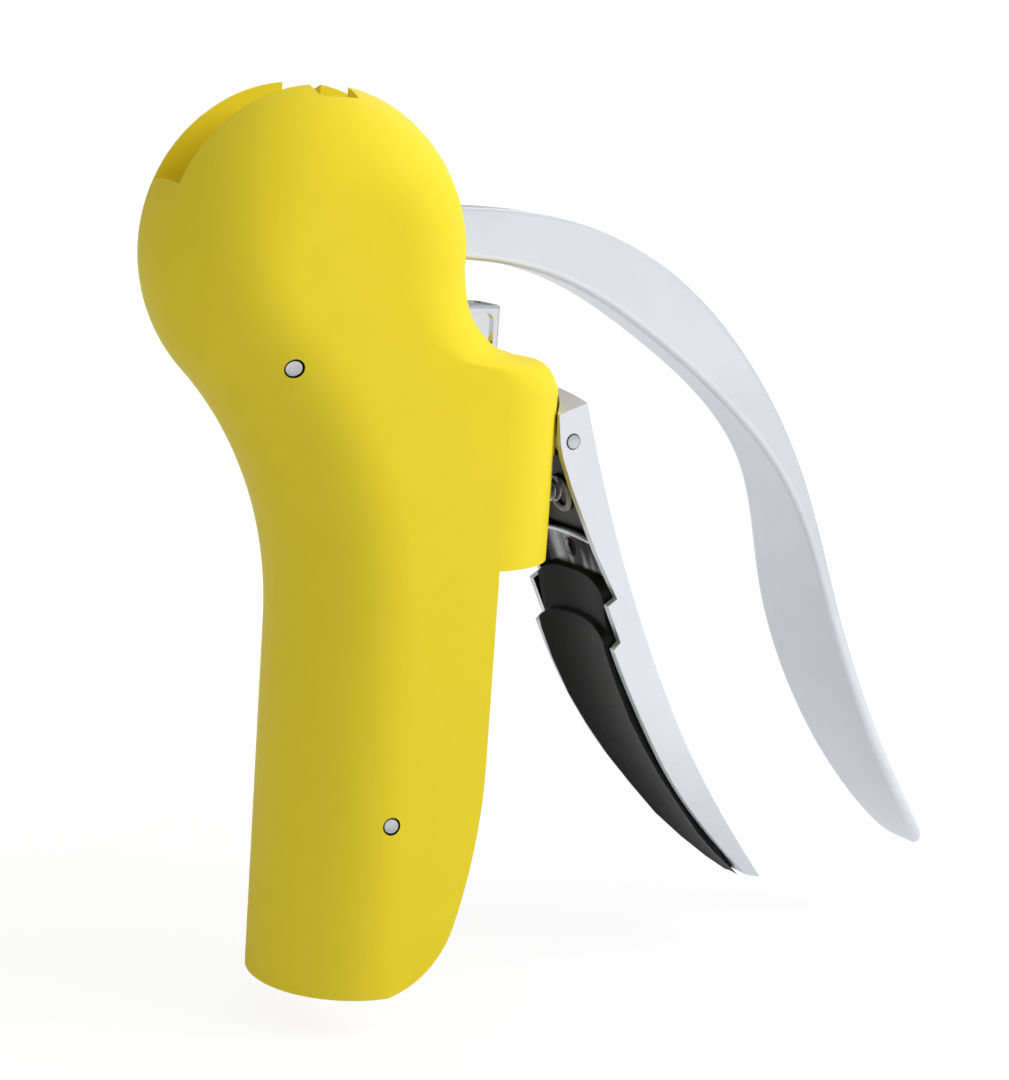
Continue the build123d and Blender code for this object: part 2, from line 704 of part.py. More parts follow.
def grip_pad():
    """Rubber pad on the carrier, hollowed for the neck, with a stepped top."""
    back = web_span(grip_wall + carrier_thick + 2 * pad_gap, grip_z + pad_up, grip_z + pad_low)
    tip = back @ 1
    ridge_top, ridge_mid = (from_pin(spot) for spot in pad_ridge)
    ridge = ThreePointArc(ridge_top, ridge_mid, (tip.X - pad_toe[0], tip.Y - pad_toe[1]))
    head = Polyline(ridge_top, *[from_pin(spot) for spot in pad_head], back @ 0)
    solid = extrude(side(make_face([ridge, Line(ridge @ 1, tip), back, head])), big, both=True)
    solid &= front_prism(grip_wall + pad_gap)
    dish_top, dish_mid = (from_pin(spot) for spot in pad_dish)
    hollow = ThreePointArc(dish_top, dish_mid, (tip.X - dish_toe[0], tip.Y - dish_toe[1]))
    centre = (hollow.arc_center.X, 0, hollow.arc_center.Y)
    level = Plane(centre, x_dir=(1, 0, 0), z_dir=(0, 0, 1))
    section = level * Pos(hollow.radius + pad_dish_r, 0) * Circle(pad_dish_r)
    return one(solid - revolve(section, Axis(centre, (0, 1, 0)), 360))


def pad_carrier():
    """Steel plate that lies on the web and holds the pad."""
    high = grip_z + carrier_up
    low = grip_z + carrier_low
    under = web_span(grip_wall + pad_gap, high, low)
    over = web_span(grip_wall + pad_gap + carrier_thick, high, low)
    face = make_face([under, Line(under @ 1, over @ 1), over, Line(over @ 0, under @ 0)])
    plate = extrude(side(face), big, both=True) & front_prism(grip_wall + pad_gap)
    return one(plate - rivet_shaft(rivet_r + pin_gap))


def rivet_shaft(r):
    length = grip_wall + carrier_thick + pad_gap
    return web_frame(grip_z + rivet_up) * Pos(0, 0, length / 2 - grip_wall) * Cylinder(r, length)


def pad_rivet():
    head = web_frame(grip_z + rivet_up) * Pos(0, 0, carrier_thick + 2 * pad_gap + rivet_head / 2)
    return one(rivet_shaft(rivet_r) + head * Cylinder(rivet_head_r, rivet_head + 2 * pad_gap))


def web_frame(z):
    """Place on the inner face of the grip's web at a given height, with its normal pointing at the neck."""
    web = grip_arc(grip_wall)
    u = share_at(web, z)
    spot = web @ u
    way = web % u
    normal = Vector(way.Y, -way.X)
    if normal.X > 0:
        normal = normal * -1
    return Plane((spot.X, 0, spot.Y), x_dir=(0, 1, 0), z_dir=(normal.X, 0, normal.Y))


def spring_seat():
    at = web_frame(spring_z)
    return one(at * Pos(0, 0, pad_gap + seat_thick / 2) * Cylinder(seat_r, seat_thick))


def grip_spring():
    """Coil spring along X, from the bottom of its pocket to the seat on the grip."""
    start_x = body_half - pocket_depth + spring_gap
    end_x = web_frame(spring_z).origin.X - seat_thick - spring_lean
    lead = 2 * spring_wire_r
    length = end_x - start_x - 2 * (lead + spring_bend)
    spots = helix_points(spring_mean_r, length / spring_turns, spring_turns)
    up = Vector(0, 0, 1)
    across = spring_mean_r * cos(radians(exit_deg))
    aside = spring_mean_r * sin(radians(exit_deg))
    foot = Vector(across, -aside, -spring_bend)
    head = Vector(across, aside, length + spring_bend)
    path = [Line(foot - up * lead, foot)]
    path += biarc(foot, up, *spots[0])
    for a, b in zip(spots, spots[1:]):
        path += biarc(*a, *b)
    path += biarc(*spots[-1], head, up)
    path.append(Line(head, head + up * lead))
    print("spring: least gap to itself", round(least_gap(path, spring_wire_r, pi * spring_mean_r), 2))
    coil = tube(path, spring_wire_r)
    return one(Pos(start_x + lead + spring_bend, 0, spring_z) * Rot(0, 90, 0) * coil)


def pin(place, r, half):
    return one(cyl_y(*place, r, -half, half))


def build():
    near = near_half()
    near_bush = lever_bush(-1)
    flange_y = grip_half - grip_wall - grip_washer_gap
    near_washer = one(cyl_y(grip_x, grip_z, grip_washer_r, -flange_y, -washer_y)
                      - cyl_y(grip_x, grip_z, grip_pin_r + axle_gap, -big, big))
    return {
        "near_shell": near,
        "far_shell": mirror(near, about=Plane.XZ),
        "neck_liner": neck_liner(),
        "upper_body_pin": pin(upper_pin, pin_r, pin_end(upper_pin) - pin_sunk),
        "lower_body_pin": pin(lower_pin, pin_r, pin_end(lower_pin) - pin_sunk),
        "lever_axle": pin((head_x, head_z), axle_r, axle_half),
        "lever": lever(),
        "near_lever_bush": near_bush,
        "far_lever_bush": lever_bush(1),
        "rack_carriage": rack_carriage(),
        "carriage_cap": carriage_cap(),
        "worm": worm(),
        "worm_washer": ring(shank_r + shank_gap, hub_r, hub_top, hub_top + washer_thick),
        "worm_clip": worm_clip(),
        "worm_guide": worm_guide(),
        "worm_guide_pins": Compound(guide_pins()),
        "grip_lever": grip_lever(),
        "grip_pad": grip_pad(),
        "pad_carrier": pad_carrier(),
        "pad_rivet": pad_rivet(),
        "grip_pin": pin((grip_x, grip_z), grip_pin_r, grip_half),
        "near_grip_washer": near_washer,
        "far_grip_washer": mirror(near_washer, about=Plane.XZ),
        "spring_seat": spring_seat(),
        "grip_spring": grip_spring(),
    }


os.makedirs("parts", exist_ok=True)
for name, shape in build().items():
    export_step(shape, os.path.join("parts", name + ".step"))
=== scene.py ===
import json
from math import cos, hypot, pi, radians, sin
import bmesh
import bpy
from mathutils import Matrix, Vector


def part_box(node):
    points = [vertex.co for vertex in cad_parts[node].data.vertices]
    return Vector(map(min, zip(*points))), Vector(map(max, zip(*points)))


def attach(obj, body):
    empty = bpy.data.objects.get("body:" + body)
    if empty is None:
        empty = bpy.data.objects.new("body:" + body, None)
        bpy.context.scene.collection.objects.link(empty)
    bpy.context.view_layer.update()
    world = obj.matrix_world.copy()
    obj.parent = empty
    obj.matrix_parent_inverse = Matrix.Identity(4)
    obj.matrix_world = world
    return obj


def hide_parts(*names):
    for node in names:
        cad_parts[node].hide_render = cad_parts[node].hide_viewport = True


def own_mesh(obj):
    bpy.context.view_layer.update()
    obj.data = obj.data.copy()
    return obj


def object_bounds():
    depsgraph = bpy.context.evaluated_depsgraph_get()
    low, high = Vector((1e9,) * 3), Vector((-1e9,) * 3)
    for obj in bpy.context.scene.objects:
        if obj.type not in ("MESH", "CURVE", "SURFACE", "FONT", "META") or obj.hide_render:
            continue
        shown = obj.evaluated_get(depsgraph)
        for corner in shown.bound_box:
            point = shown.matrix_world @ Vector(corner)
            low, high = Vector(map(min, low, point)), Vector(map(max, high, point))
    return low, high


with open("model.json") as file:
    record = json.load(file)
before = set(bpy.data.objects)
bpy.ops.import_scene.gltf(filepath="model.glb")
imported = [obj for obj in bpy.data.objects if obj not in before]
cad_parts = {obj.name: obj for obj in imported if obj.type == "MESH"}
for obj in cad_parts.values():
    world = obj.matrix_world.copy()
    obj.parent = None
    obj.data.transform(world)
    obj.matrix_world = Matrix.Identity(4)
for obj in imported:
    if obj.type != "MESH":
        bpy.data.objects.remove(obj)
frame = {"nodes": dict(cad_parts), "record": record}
nodes = frame["nodes"]
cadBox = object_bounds()
mm = 0.001
weld = 0.001 * mm       # points nearer than this are one
print("frame loaded:", len(nodes), "nodes")


# camera, in the photograph's place

cameraSet = {
    "aim": Vector((13.3, 0, 1.7)) * mm,
    "azimuth": -33.15,
    "elevation": 10.85,
    "roll": 4.03,
    "distance": 500 * mm,
    "sensorHigh": 36,
    "lens": 83.33,
    "nearest": 10 * mm,
}


def placeCamera(s):
    az, el, roll = (radians(s[k]) for k in ("azimuth", "elevation", "roll"))
    back = Vector((sin(az) * cos(el), -cos(az) * cos(el), sin(el)))
    level = Vector((cos(az), sin(az), 0))
    upright = back.cross(level)
    right = level * cos(roll) + upright * sin(roll)
    up = upright * cos(roll) - level * sin(roll)
    data = bpy.data.cameras.new("camera")
    data.sensor_fit = "VERTICAL"
    data.sensor_height = s["sensorHigh"]
    data.lens = s["lens"]
    data.clip_start = s["nearest"]
    camera = bpy.data.objects.new("camera", data)
    bpy.context.scene.collection.objects.link(camera)
    turn = Matrix((right, up, back)).transposed().to_4x4()
    camera.matrix_world = Matrix.Translation(s["aim"] + back * s["distance"]) @ turn
    bpy.context.scene.camera = camera


placeCamera(cameraSet)
print("camera placed")


# node helpers for the studio and the finishes

def sums(tree, operation, first, second=None):
    node = tree.nodes.new("ShaderNodeMath")
    node.operation = operation
    for socket, value in zip(node.inputs, (first, second)):
        if value is None:
            continue
        if isinstance(value, (int, float)):
            socket.default_value = value
        else:
            tree.links.new(value, socket)
    return node.outputs[0]


def chain(tree, operation, *values):
    last = values[0]
    for value in values[1:]:
        last = sums(tree, operation, last, value)
    return last


def axes(tree, kind="Object"):
    split = tree.nodes.new("ShaderNodeSeparateXYZ")
    where = tree.nodes.new("ShaderNodeTexCoord")
    tree.links.new(where.outputs[kind], split.inputs[0])
    return split.outputs["X"], split.outputs["Y"], split.outputs["Z"]


def farFrom(tree, a, b, middleA, middleB):
    da = sums(tree, "SUBTRACT", a, middleA)
    db = sums(tree, "SUBTRACT", b, middleB)
    squares = sums(tree, "ADD", sums(tree, "MULTIPLY", da, da), sums(tree, "MULTIPLY", db, db))
    return sums(tree, "SQRT", squares)


noiseSpan = (0.3, 0.7)      # noise mostly lies between these


def spread(tree, source, low, high, start=noiseSpan[0], end=noiseSpan[1], smooth=False):
    span = tree.nodes.new("ShaderNodeMapRange")
    span.interpolation_type = "SMOOTHSTEP" if smooth else "LINEAR"
    span.inputs["From Min"].default_value = start
    span.inputs["From Max"].default_value = end
    span.inputs["To Min"].default_value = low
    span.inputs["To Max"].default_value = high
    tree.links.new(source, span.inputs["Value"])
    return span.outputs[0]


def seenDirectly(tree, *kinds):
    path = tree.nodes.new("ShaderNodeLightPath")
    return chain(tree, "MAXIMUM", *(path.outputs[kind] for kind in kinds))


# studio: white surroundings, soft lamps

studio = {
    "ambient": 0.48,
    "mirrorLow": 0.28,              # what metal sees, below and above
    "mirrorHigh": 1.0,
    "mirrorRise": (-0.55, 0.35),    # heights between which it grows
    "mirrorBehind": 0.55,           # share of it behind the object
    "behindFade": (-0.2, 0.75),
    "mirrorTop": 0.85,              # and right above
    "topFade": (0.3, 0.85),
    "key": {"at": (0.39, -0.31, 0.39), "size": 0.45, "watts": 3.1, "mirrored": False},
    "fill": {"at": (-0.85, -0.5, 0.3), "size": 0.9, "watts": 0.4, "mirrored": True},
    "rim": {"at": (0.7, 0.55, 0.6), "size": 0.6, "watts": 1.0, "mirrored": True},
}


def softLamp(name, s, target):
    data = bpy.data.lights.new(name, "AREA")
    data.shape = "DISK"
    data.size = s["size"]
    data.energy = s["watts"]
    lamp = bpy.data.objects.new(name, data)
    bpy.context.scene.collection.objects.link(lamp)
    lamp.location = s["at"]
    lamp.rotation_euler = (target - lamp.location).to_track_quat("-Z", "Y").to_euler()
    lamp.visible_glossy = s["mirrored"]


def whiteSurroundings(s):
    world = bpy.data.worlds.new("studio")
    bpy.context.scene.world = world
    world.use_nodes = True
    tree = world.node_tree
    tree.nodes.clear()
    out = tree.nodes.new("ShaderNodeOutputWorld")
    shown, lit, mirrored = (tree.nodes.new("ShaderNodeBackground") for _ in range(3))
    lit.inputs["Strength"].default_value = s["ambient"]
    for part in (shown, lit):
        part.inputs["Color"].default_value = (1, 1, 1, 1)
    # metal sees a room that is white above and greyer below and behind
    x, y, z = axes(tree, "Generated")
    height = spread(tree, z, s["mirrorLow"], s["mirrorHigh"], *s["mirrorRise"], smooth=True)
    behind = spread(tree, y, 1, s["mirrorBehind"], *s["behindFade"], smooth=True)
    above = spread(tree, z, 1, s["mirrorTop"], *s["topFade"], smooth=True)
    tree.links.new(chain(tree, "MULTIPLY", height, behind, above), mirrored.inputs["Strength"])
    inMetal = tree.nodes.new("ShaderNodeMixShader")
    onView = tree.nodes.new("ShaderNodeMixShader")
    tree.links.new(seenDirectly(tree, "Is Glossy Ray"), inMetal.inputs["Fac"])
    tree.links.new(lit.outputs[0], inMetal.inputs[1])
    tree.links.new(mirrored.outputs[0], inMetal.inputs[2])
    tree.links.new(seenDirectly(tree, "Is Camera Ray", "Is Transmission Ray"), onView.inputs["Fac"])
    tree.links.new(inMetal.outputs[0], onView.inputs[1])
    tree.links.new(shown.outputs[0], onView.inputs[2])
    tree.links.new(onView.outputs[0], out.inputs["Surface"])


whiteSurroundings(studio)
middle = (cadBox[0] + cadBox[1]) / 2
for lampName in ("key", "fill", "rim"):
    softLamp(lampName, studio[lampName], middle)
bpy.context.scene.view_settings.view_transform = "Standard"
print("studio lit")


# what all finishes share

even = (1, 1, 1)


def finish(name, colour, metallic=0):
    material = bpy.data.materials.new(name)
    material.use_nodes = True
    tree = material.node_tree
    shader = tree.nodes["Principled BSDF"]
    shader.inputs["Base Color"].default_value = (*colour, 1)
    shader.inputs["Metallic"].default_value = metallic
    return material, tree, shader


def speckle(tree, size, detail, stretch=even):
    where = tree.nodes.new("ShaderNodeTexCoord")
    mapping = tree.nodes.new("ShaderNodeMapping")
    mapping.inputs["Scale"].default_value = stretch
    tree.links.new(where.outputs["Object"], mapping.inputs["Vector"])
    noise = tree.nodes.new("ShaderNodeTexNoise")
    noise.inputs["Scale"].default_value = 1 / size
    noise.inputs["Detail"].default_value = detail
    tree.links.new(mapping.outputs[0], noise.inputs["Vector"])
    return noise.outputs["Fac"]


def blendColours(tree, share, first, second):
    mix = tree.nodes.new("ShaderNodeMix")
    mix.data_type = "RGBA"
    for socket, colour in zip(mix.inputs[6:8], (first, second)):     # the two colour sockets
        if isinstance(colour, tuple):
            socket.default_value = (*colour, 1)
        else:
            tree.links.new(colour, socket)
    tree.links.new(share, mix.inputs[0])
    return mix.outputs[2]


def bump(tree, shader, height, depth):
    node = tree.nodes.new("ShaderNodeBump")
    node.inputs["Distance"].default_value = depth
    node.inputs["Strength"].default_value = 1
    tree.links.new(height, node.inputs["Height"])
    tree.links.new(node.outputs[0], shader.inputs["Normal"])


def clouded(tree, s):
    patches = speckle(tree, s["cloud"], s["cloudDetail"], s.get("cloudStretch", even))
    share = spread(tree, patches, 0, 1, *s.get("cloudSpan", noiseSpan))
    return blendColours(tree, share, s["colour"], s["shade"])


def grained(tree, shader, s):
    grain = speckle(tree, s["grain"], s["grainDetail"], s.get("grainStretch", even))
    tree.links.new(spread(tree, grain, *s["rough"]), shader.inputs["Roughness"])
    bump(tree, shader, grain, s["grainDepth"])


# yellow soft-touch plastic of the body; the grip's lugs outside the collar are painted black, and the
# ring round each pin's end is painted shadow

yellowSet = {
    "colour": (0.875, 0.702, 0.021),
    "shade": (0.862, 0.688, 0.019),
    "cloud": 9 * mm,
    "cloudDetail": 3,
    "grain": 0.22 * mm,
    "grainDetail": 2,
    "grainDepth": 0.018 * mm,
    "rough": (0.5, 0.62),
    "specular": 0.32,
    # black of the lugs, also used as painted shadow round the pins
    "blackAndShade": (0.006, 0.006, 0.006),
    "lugFrom": 19.68 * mm,      # from the collar's axis
    "lugAhead": 10 * mm,
    "pins": ((-45.5 * mm, 39.1 * mm), (-20.3 * mm, -48.6 * mm)),
    "recessShadeRadius": 1.775 * mm,    # painted shadow: the ring round each pin's end is painted black
}


def yellowPlastic(s):
    material, tree, shader = finish("yellowSoftTouch", s["colour"])
    x, y, z = axes(tree)
    outside = sums(tree, "GREATER_THAN", farFrom(tree, x, y, 0, 0), s["lugFrom"])
    ahead = sums(tree, "GREATER_THAN", x, s["lugAhead"])
    lugs = sums(tree, "MULTIPLY", outside, ahead)
    # painted shadow in the ring round each pin's end
    recessShade = [sums(tree, "LESS_THAN", farFrom(tree, x, z, *pin), s["recessShadeRadius"]) for pin in s["pins"]]
    lugsAndRecessShade = chain(tree, "MAXIMUM", lugs, *recessShade)
    colour = blendColours(tree, lugsAndRecessShade, clouded(tree, s), s["blackAndShade"])
    tree.links.new(colour, shader.inputs["Base Color"])
    grained(tree, shader, s)
    shader.inputs["Specular IOR Level"].default_value = s["specular"]
    return material


# satin silver of the lever and the grip; inside the grip it is painted black and not metal, and a ring
# round its pin is painted shadow

silverSet = {
    "colour": (0.845, 0.862, 0.93),
    "shade": (0.815, 0.832, 0.905),
    "metallic": 0.8,
    "cloud": 14 * mm,
    "cloudDetail": 2,
    "grain": 0.09 * mm,
    "grainDetail": 1,
    "grainDepth": 0.004 * mm,
    "rough": (0.34, 0.44),
    # black inside the grip, also used as painted shadow round its pin
    "blackAndShade": (0.004, 0.004, 0.004),
    "wall": 1.5 * mm,
    "insideHalf": 12.95 * mm,
    "insideLow": -22 * mm,
    "insideHigh": 27.7 * mm,
    # painted shadow round the grip's pin
    "pinShadowRing": 1.62 * mm,
}
gripForm = {
    "pin": (18.2 * mm, 23.9 * mm),
    "crown": (20.9 * mm, 31.5 * mm),        # the grip's back is an arc through these
    "backMiddle": (37.8 * mm, -12.9 * mm),
    "tip": (72.5 * mm, -71.5 * mm),
}


def circleThrough(a, b, c):
    (ax, ay), (bx, by), (cx, cy) = a, b, c
    d = 2 * (ax * (by - cy) + bx * (cy - ay) + cx * (ay - by))
    aa, bb, cc = ax * ax + ay * ay, bx * bx + by * by, cx * cx + cy * cy
    ux = (aa * (by - cy) + bb * (cy - ay) + cc * (ay - by)) / d
    uy = (aa * (cx - bx) + bb * (ax - cx) + cc * (bx - ax)) / d
    return ux, uy, ((ax - ux) ** 2 + (ay - uy) ** 2) ** 0.5


backX, backZ, backRadius = circleThrough(gripForm["crown"], gripForm["backMiddle"], gripForm["tip"])


def gripInsideAndPinShadow(tree, s):
    x, y, z = axes(tree)
    behind = sums(tree, "GREATER_THAN", farFrom(tree, x, z, backX, backZ), backRadius + s["wall"])
    between = sums(tree, "LESS_THAN", sums(tree, "ABSOLUTE", y), s["insideHalf"])
    above = sums(tree, "GREATER_THAN", z, s["insideLow"])
    below = sums(tree, "LESS_THAN", z, s["insideHigh"])
    paintedDark = chain(tree, "MULTIPLY", behind, between, above, below)
    # the ring round the grip's pin is painted shadow
    pinShadow = sums(tree, "LESS_THAN", farFrom(tree, x, z, *gripForm["pin"]), s["pinShadowRing"])
    return sums(tree, "MAXIMUM", paintedDark, pinShadow)


def satinSilver(name, s, blackInsideAndPinShadow):
    material, tree, shader = finish(name, s["colour"], s["metallic"])
    silver = clouded(tree, s)
    if blackInsideAndPinShadow:
        paintedDark = gripInsideAndPinShadow(tree, s)
        silver = blendColours(tree, paintedDark, silver, s["blackAndShade"])
        bare = sums(tree, "SUBTRACT", 1, paintedDark)
        tree.links.new(sums(tree, "MULTIPLY", bare, s["metallic"]), shader.inputs["Metallic"])
    tree.links.new(silver, shader.inputs["Base Color"])
    grained(tree, shader, s)
    return material


# chrome of the carriage

chromeSet = {
    "colour": (0.7, 0.71, 0.74),
    "ripple": 2.2 * mm,
    "hazeDetail": 2,
    "rough": (0.06, 0.14),
    "rippleDetail": 1,
    "rippleDepth": 0.006 * mm,
}


def chrome(s):
    material, tree, shader = finish("chrome", s["colour"], 1)
    haze = speckle(tree, s["ripple"], s["hazeDetail"])
    tree.links.new(spread(tree, haze, *s["rough"]), shader.inputs["Roughness"])
    bump(tree, shader, speckle(tree, s["ripple"], s["rippleDetail"]), s["rippleDepth"])
    return material


# drawn steel, rubber and nylon

steelSet = {
    "colour": (0.62, 0.63, 0.65),
    "shade": (0.5, 0.51, 0.53),
    "metallic": 1,
    "cloud": 4 * mm,
    "cloudDetail": 1,
    "cloudSpan": (0.4, 0.6),
    "grain": 0.12 * mm,
    "grainDetail": 2,
    "grainDepth": 0.003 * mm,
    "grainStretch": (1, 0.06, 1),       # drawn along Y, as the pins are
    "rough": (0.2, 0.36),
    "specular": 0.5,
}
# the carrier's dark steel, with painted reflections as light streaks up and down it
carrierSteelReflectionSet = {
    **steelSet,
    "colour": (0.34, 0.34, 0.35),
    "shade": (0.02, 0.02, 0.022),
    "cloud": 3.2 * mm,
    "cloudStretch": (0.3, 1, 0.12),     # painted reflections: light streaks run up and down the plate
    "grain": 0.2 * mm,
    "grainDepth": 0.0015 * mm,
    "grainStretch": (1, 1, 0.05),
}
rubberSet = {
    "colour": (0.0045, 0.0048, 0.006),
    "shade": (0.0065, 0.0068, 0.008),
    "metallic": 0,
    "cloud": 6 * mm,
    "cloudDetail": 2,
    "grain": 0.3 * mm,
    "grainDetail": 3,
    "grainDepth": 0.012 * mm,
    "rough": (0.38, 0.5),
    "specular": 0.16,
}
nylonSet = {
    "colour": (0.55, 0.55, 0.55),
    "shade": (0.49, 0.49, 0.49),
    "metallic": 0,
    "cloud": 3 * mm,
    "cloudDetail": 2,
    "grain": 0.25 * mm,
    "grainDetail": 2,
    "grainDepth": 0.01 * mm,
    "rough": (0.42, 0.56),
    "specular": 0.5,
}


def plainFinish(name, s):
    material, tree, shader = finish(name, s["colour"], s["metallic"])
    tree.links.new(clouded(tree, s), shader.inputs["Base Color"])
    grained(tree, shader, s)
    shader.inputs["Specular IOR Level"].default_value = s["specular"]
    return material


finishes = {
    "body_plastic": yellowPlastic(yellowSet),
    "satin_metal": satinSilver("satinSilver", silverSet, False),
    "chrome": chrome(chromeSet),
    "steel": plainFinish("steel", steelSet),
    "black_rubber": plainFinish("blackRubber", rubberSet),
    "nylon": plainFinish("nylon", nylonSet),
}
ownFinishes = {
    "grip_lever": satinSilver("gripSilver", silverSet, True),
    # carrier steel with painted reflections
    "pad_carrier": plainFinish("carrierSteelPaintedReflections", carrierSteelReflectionSet),
}
for sub in frame["record"]["subparts"]:
    mesh = nodes[sub["node"]].data
    mesh.materials.clear()
    mesh.materials.append(ownFinishes.get(sub["node"], finishes[sub["material_slot"]]))


# what all pieces share

def addPiece(bm, name, slotName, body, sharp=40):
    mesh = bpy.data.meshes.new(name)
    bm.to_mesh(mesh)
    bm.free()
    mesh.shade_smooth()
    mesh.set_sharp_from_angle(angle=radians(sharp))
    piece = bpy.data.objects.new(name, mesh)
    bpy.context.scene.collection.objects.link(piece)
    mesh.materials.append(finishes[slotName])
    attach(piece, body)
    return piece


def mergedCopy(node, gap):
    bm = bmesh.new()
    bm.from_mesh(nodes[node].data)
    bmesh.ops.remove_doubles(bm, verts=bm.verts, dist=gap)
    return bm


def roundEdges(bm, sharperThan, size, steps):
    edges = [e for e in bm.edges if e.calc_face_angle(0) > radians(sharperThan)]
    bmesh.ops.bevel(bm, geom=edges, offset=size, offset_type="OFFSET", affect="EDGES",
                    segments=steps, profile=0.5, material=-1, clamp_overlap=True)


def closeHoles(bm):
    bmesh.ops.holes_fill(bm, edges=[e for e in bm.edges if e.is_boundary])


def lineThrough(bm, points):
    verts = [bm.verts.new(p) for p in points]
    return verts + [bm.edges.new(pair) for pair in zip(verts, verts[1:])]


def spinRound(bm, geom, centre, axis, steps):
    bmesh.ops.spin(bm, geom=geom, cent=centre, axis=axis, angle=2 * pi, steps=steps,
                   use_merge=True, use_duplicate=False)
    bmesh.ops.remove_doubles(bm, verts=bm.verts, dist=weld)


# places on the grip: from its pin, in millimetres, and on its back

def fromPin(x, z):
    pinX, pinZ = gripForm["pin"]
    return Vector((pinX + x * mm, 0, pinZ + z * mm))


def onWeb(down, lift):
    z = gripForm["pin"][1] - down
    reach = backRadius + lift
    x = backX - (reach * reach - (z - backZ) ** 2) ** 0.5
    return Vector((x, 0, z)), Vector((x - backX, 0, z - backZ)).normalized()


def standing(spot, outward):
    return Matrix.Translation(spot) @ outward.to_track_quat("Z", "Y").to_matrix().to_4x4()


# the grip, swept out to a blunt toe

gripSet = {
    "merge": 0.002 * mm,
    "sharp": 16,
    "cutAt": (50.1, -89.8),     # blunt end, from the pin
    "cutWay": (0.62, -0.78),
}
toeSet = {
    "from": -31 * mm,       # below this the grip sweeps further out than the solid
    "out": 9.6,             # per metre, growing with the square of the distance
    "down": 7.0,
    "depth": 6 * mm,        # the flanges' edges, this far from the back, stay
}


def sweepToe(verts, s):
    for v in verts:
        run = s["from"] - v.co.z
        if run > 0:
            depth = hypot(v.co.x - backX, v.co.z - backZ) - backRadius
            share = max(0, 1 - max(0, depth) / s["depth"])
            v.co.x += share * s["out"] * run * run
            v.co.z -= share * s["down"] * run * run


def gripLever(s):
    bm = mergedCopy("grip_lever", s["merge"])
    wayX, wayZ = s["cutWay"]
    bmesh.ops.bisect_plane(bm, geom=bm.verts[:] + bm.edges[:] + bm.faces[:], dist=weld,
                           plane_co=fromPin(*s["cutAt"]), plane_no=(wayX, 0, wayZ), clear_outer=True)
    closeHoles(bm)
    bmesh.ops.recalc_face_normals(bm, faces=bm.faces)
    sweepToe(bm.verts, toeSet)
    piece = addPiece(bm, "gripLever", "satin_metal", "grip", s["sharp"])
    piece.data.materials[0] = ownFinishes["grip_lever"]
    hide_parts("grip_lever")


gripLever(gripSet)
print("grip swept out to its toe")


# the pad: two arched lips, then a long ridge with a hollow face

padSet = {
    # each row: its edge beside the flanges, from the pin, half its width, the arch of the lip,
    # the depth of the hollow, and where its back lies below the pin
    "rows": (
        (13.6, -30.3, 11.8, 2.6, 1.6, 29),
        (11.6, -32.0, 12.0, 2.6, 1.6, 30.5),
        (13.9, -40.7, 11.6, 2.6, 1.8, 37),
        (12.7, -41.6, 12.0, 2.6, 1.9, 38.5),
        (13.6, -44.2, 12.0, 2.2, 2.0, 41),
        (16.9, -51.0, 11.9, 1.2, 2.0, 47),
        (21.4, -58.9, 11.5, 0.4, 2.0, 54),
        (26.3, -65.9, 10.9, 0, 1.9, 60.5),
        (31.7, -72.8, 10.2, 0, 1.8, 66.5),
        (37.7, -79.6, 9.2, 0, 1.6, 72.5),
        (44.2, -86.6, 7.9, 0, 1.3, 78),
        (50.6, -92.2, 6.3, 0, 0.9, 82.5),
        (56.6, -96.9, 4.6, 0, 0.5, 86.5),
        (60.8, -99.8, 2.6, 0, 0.2, 88.8),
    ),
    "ridge": 4,             # row where the ridge begins; the lips lean as it does there
    "flare": 0.9 * mm,      # the pad is wider behind its edge
    "lift": 1.75 * mm,
    "across": 24,
    "corner": 32,
    "round": 0.4 * mm,
    "steps": 3,
}


def gripPad(s):
    rows = s["rows"]
    last = len(rows) - 1
    edge = [fromPin(*row[:2]) for row in rows]
    bm = bmesh.new()
    bmesh.ops.create_grid(bm, x_segments=last, y_segments=s["across"], size=0.5)
    front = bm.verts[:]
    made = bmesh.ops.extrude_face_region(bm, geom=bm.faces[:], use_keep_orig=True)
    rear = [g for g in made["geom"] if isinstance(g, bmesh.types.BMVert)]
    place = {v: (round((v.co.x + 0.5) * last), v.co.y * 2) for v in front + rear}
    for v in rear:
        row, share = place[v]
        half, behind = rows[row][2], rows[row][5]
        spot = onWeb(behind * mm, s["lift"])[0]
        v.co = (spot.x, share * (half * mm + s["flare"] * (1 - row / last)), spot.z)
    for v in front:
        row, share = place[v]
        half, rise, dish = rows[row][2:5]
        leaning = max(s["ridge"], row)
        along = (edge[leaning - 1] - edge[min(last, leaning + 1)]).normalized()
        inward = Vector((-along.z, 0, along.x))
        inward = inward if inward.x > 0 else -inward
        hollow = inward * dish * mm * (1 - share ** 2)
        arch = along * rise * mm * (1 - share ** 4)
        spot = edge[row] + hollow + arch
        v.co = (spot.x, share * half * mm, spot.z)
    sweepToe(rear, toeSet)
    bmesh.ops.recalc_face_normals(bm, faces=bm.faces)
    roundEdges(bm, s["corner"], s["round"], s["steps"])
    piece = addPiece(bm, "gripPad", "black_rubber", "grip")
    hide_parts("grip_pad")


# the carrier plate and its rolled upper edge

carrierSet = {
    "top": 20.9 * mm,
    "low": 43.5 * mm,
    "half": 12.7 * mm,
    "lift": 1.7 * mm,
    "thick": 1.0 * mm,
    "rows": 12,
    "across": 2,
    "corner": 50,
    "round": 0.15 * mm,
    "steps": 2,
}


